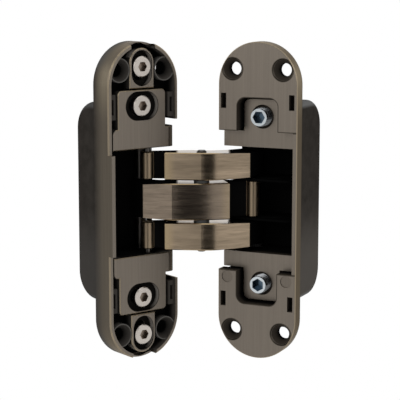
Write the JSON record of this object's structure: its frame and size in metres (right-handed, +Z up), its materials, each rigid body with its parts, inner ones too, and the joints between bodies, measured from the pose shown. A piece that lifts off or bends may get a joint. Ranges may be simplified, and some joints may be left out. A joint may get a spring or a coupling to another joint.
{
  "type": "concealed hinge",
  "caption": "Concealed door hinge in antique bronze: round-ended leaves let into frame and door, crossed arms between them, and height, side and depth adjusters.",
  "frame": {"origin": "the centre of the frame leaf's front face, in the plane that lies flush with the door frame", "axes": "+Z up along the leaves, +X across the frame leaf towards the gap between frame and door, -Y out of the frame leaf's face"},
  "size_m": [0.0745, 0.0586, 0.1116],
  "materials": {
    "leaf_bronze": "brushed antique bronze, dark in the recesses",
    "cradle_bronze": "antique bronze, satin",
    "arm_bronze": "brushed antique bronze, brassy along the edges",
    "satin_nickel": "satin nickel",
    "pin_steel": "ground steel",
    "zinc_steel": "bright zinc",
    "washer_black": "matt black"
  },
  "bodies": {
    "frame_leaf": {"frame_housing": "leaf_bronze"},
    "height_screw_upper_body": {"height_screw_upper": "satin_nickel"},
    "height_screw_lower_body": {"height_screw_lower": "satin_nickel"},
    "height_stage": {"height_plate_upper": "cradle_bronze", "height_plate_lower": "cradle_bronze"},
    "depth_screw_upper_body": {"depth_screw_upper": "satin_nickel"},
    "depth_screw_lower_body": {"depth_screw_lower": "satin_nickel"},
    "cradle": {"frame_cradle": "cradle_bronze", "frame_pivot_pin": "pin_steel", "frame_sleeve_upper": "pin_steel", "frame_sleeve_lower": "pin_steel"},
    "centre_link": {"centre_arm": "arm_bronze", "centre_slide_pin": "pin_steel", "cross_pin": "pin_steel", "cross_washers": "washer_black"},
    "outer_link": {"outer_arm_upper": "arm_bronze", "outer_arm_lower": "arm_bronze", "outer_slide_pins": "pin_steel"},
    "door_carrier": {"door_cradle": "cradle_bronze", "door_guide_plate_upper": "cradle_bronze", "door_guide_plate_lower": "cradle_bronze", "door_pivot_pin": "pin_steel", "door_sleeve": "pin_steel", "door_pivot_washers": "washer_black"},
    "door_leaf": {"door_housing": "leaf_bronze"},
    "press_screw_upper_body": {"press_screw_upper": "zinc_steel"},
    "press_screw_lower_body": {"press_screw_lower": "zinc_steel"}
  },
  "joints": [
    {"name": "height_screw_upper_turn", "type": "hinge", "parent": "frame_leaf", "child": "height_screw_upper_body", "pos_m": [0, 0.003, 0.0472], "axis": [0, 1, 0], "range_deg": [-180, 180]},
    {"name": "height_screw_lower_turn", "type": "hinge", "parent": "frame_leaf", "child": "height_screw_lower_body", "pos_m": [0, 0.003, -0.0472], "axis": [0, 1, 0], "range_deg": [-180, 180]},
    {"name": "height_adjust", "type": "slide", "parent": "frame_leaf", "child": "height_stage", "axis": [0, 0, 1], "range_m": [-0.0015, 0.0015]},
    {"name": "side_screw_upper_turn", "type": "hinge", "parent": "height_stage", "child": "depth_screw_upper_body", "pos_m": [0, 0.003, 0.0337], "axis": [0, 1, 0], "range_deg": [-180, 180]},
    {"name": "side_screw_lower_turn", "type": "hinge", "parent": "height_stage", "child": "depth_screw_lower_body", "pos_m": [0, 0.003, -0.0337], "axis": [0, 1, 0], "range_deg": [-180, 180]},
    {"name": "side_adjust", "type": "slide", "parent": "height_stage", "child": "cradle", "axis": [1, 0, 0], "range_m": [-0.0007, 0.0007]},
    {"name": "opening", "type": "hinge", "parent": "cradle", "child": "centre_link", "pos_m": [0.0074, 0.0129, 0], "axis": [0, 0, 1], "range_deg": [-70.2, 37.8]},
    {"name": "crossing", "type": "hinge", "parent": "centre_link", "child": "outer_link", "pos_m": [0.01849, -0.00867, 0], "axis": [0, 0, 1], "range_deg": [-12.8, 23.6]},
    {"name": "door_turn", "type": "hinge", "parent": "outer_link", "child": "door_carrier", "pos_m": [0.04273, -0.00875, 0], "axis": [0, 0, 1], "range_deg": [-70.4, 38]},
    {"name": "depth_adjust", "type": "slide", "parent": "door_carrier", "child": "door_leaf", "axis": [0.891, 0.454, 0], "range_m": [-0.0007, 0.0007]},
    {"name": "press_screw_upper_turn", "type": "hinge", "parent": "door_carrier", "child": "press_screw_upper_body", "pos_m": [0.03469, -0.02186, 0.0296], "axis": [0.891, 0.454, 0], "range_deg": [-180, 180]},
    {"name": "press_screw_lower_turn", "type": "hinge", "parent": "door_carrier", "child": "press_screw_lower_body", "pos_m": [0.03469, -0.02186, -0.0296], "axis": [0.891, 0.454, 0], "range_deg": [-180, 180]}
  ],
  "couplings": [
    {"joint": "crossing", "follows": "opening", "ratio": -0.33333},
    {"joint": "door_turn", "follows": "opening", "ratio": 1}
  ]
}
